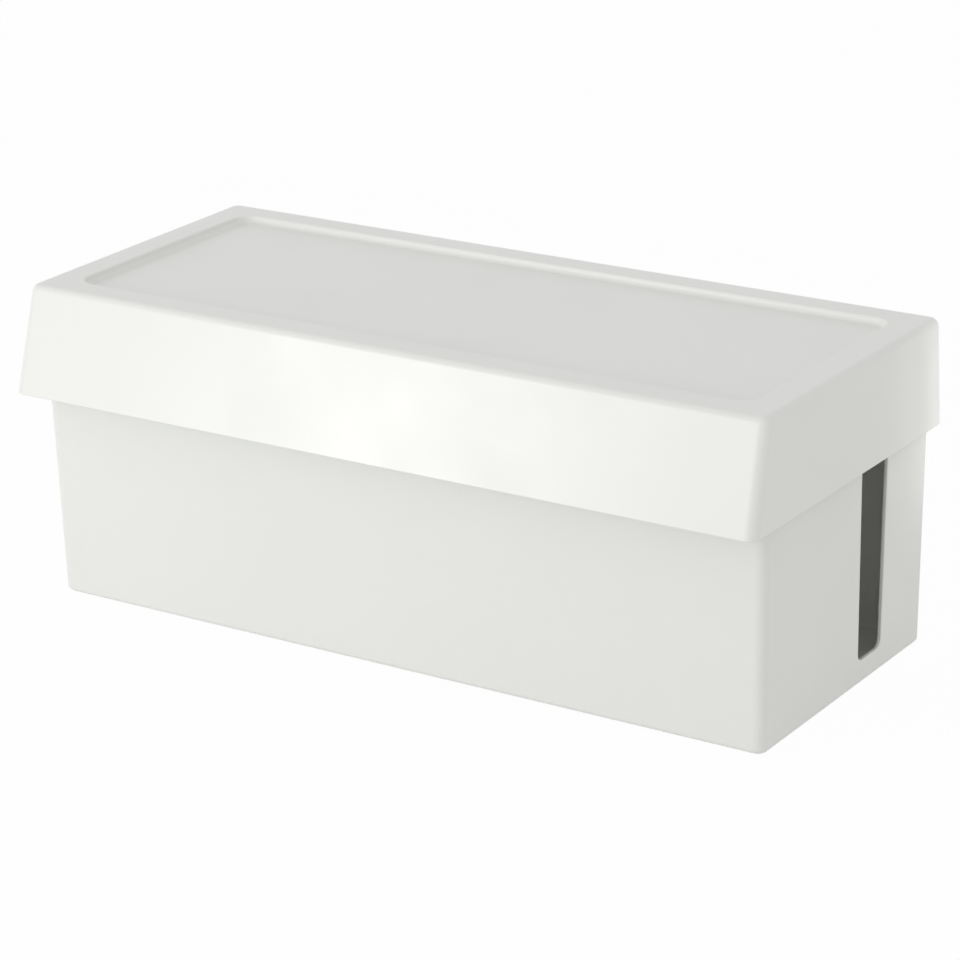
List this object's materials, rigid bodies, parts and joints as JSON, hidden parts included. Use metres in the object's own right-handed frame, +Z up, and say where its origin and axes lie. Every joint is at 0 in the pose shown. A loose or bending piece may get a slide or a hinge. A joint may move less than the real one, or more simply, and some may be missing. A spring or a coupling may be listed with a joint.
{
  "type": "cable management box",
  "caption": "Long plastic box that hides a power strip and its cables: a drafted tub with a cable slot in each end, under a recessed lift-off lid.",
  "frame": {"origin": "on the table, at the middle of the lid's outline seen from above", "axes": "+X along the box, -Y towards the side where the lid's skirt leans out, +Z up"},
  "size_m": [0.38, 0.1696, 0.15],
  "materials": {
    "tub_plastic": "semi-matte moulded polypropylene, fine texture",
    "lid_plastic": "semi-matte moulded polypropylene, fine texture",
    "foot_pad": "matt grey elastomer pad"
  },
  "bodies": {
    "tub": {"base_box": "tub_plastic", "foot_front_left": "foot_pad", "foot_front_right": "foot_pad", "foot_rear_left": "foot_pad", "foot_rear_right": "foot_pad"},
    "cover": {"lid": "lid_plastic"}
  },
  "joints": [
    {"name": "lid_lift", "type": "slide", "parent": "tub", "child": "cover", "axis": [0, 0, 1], "range_m": [0, 0.12]}
  ]
}
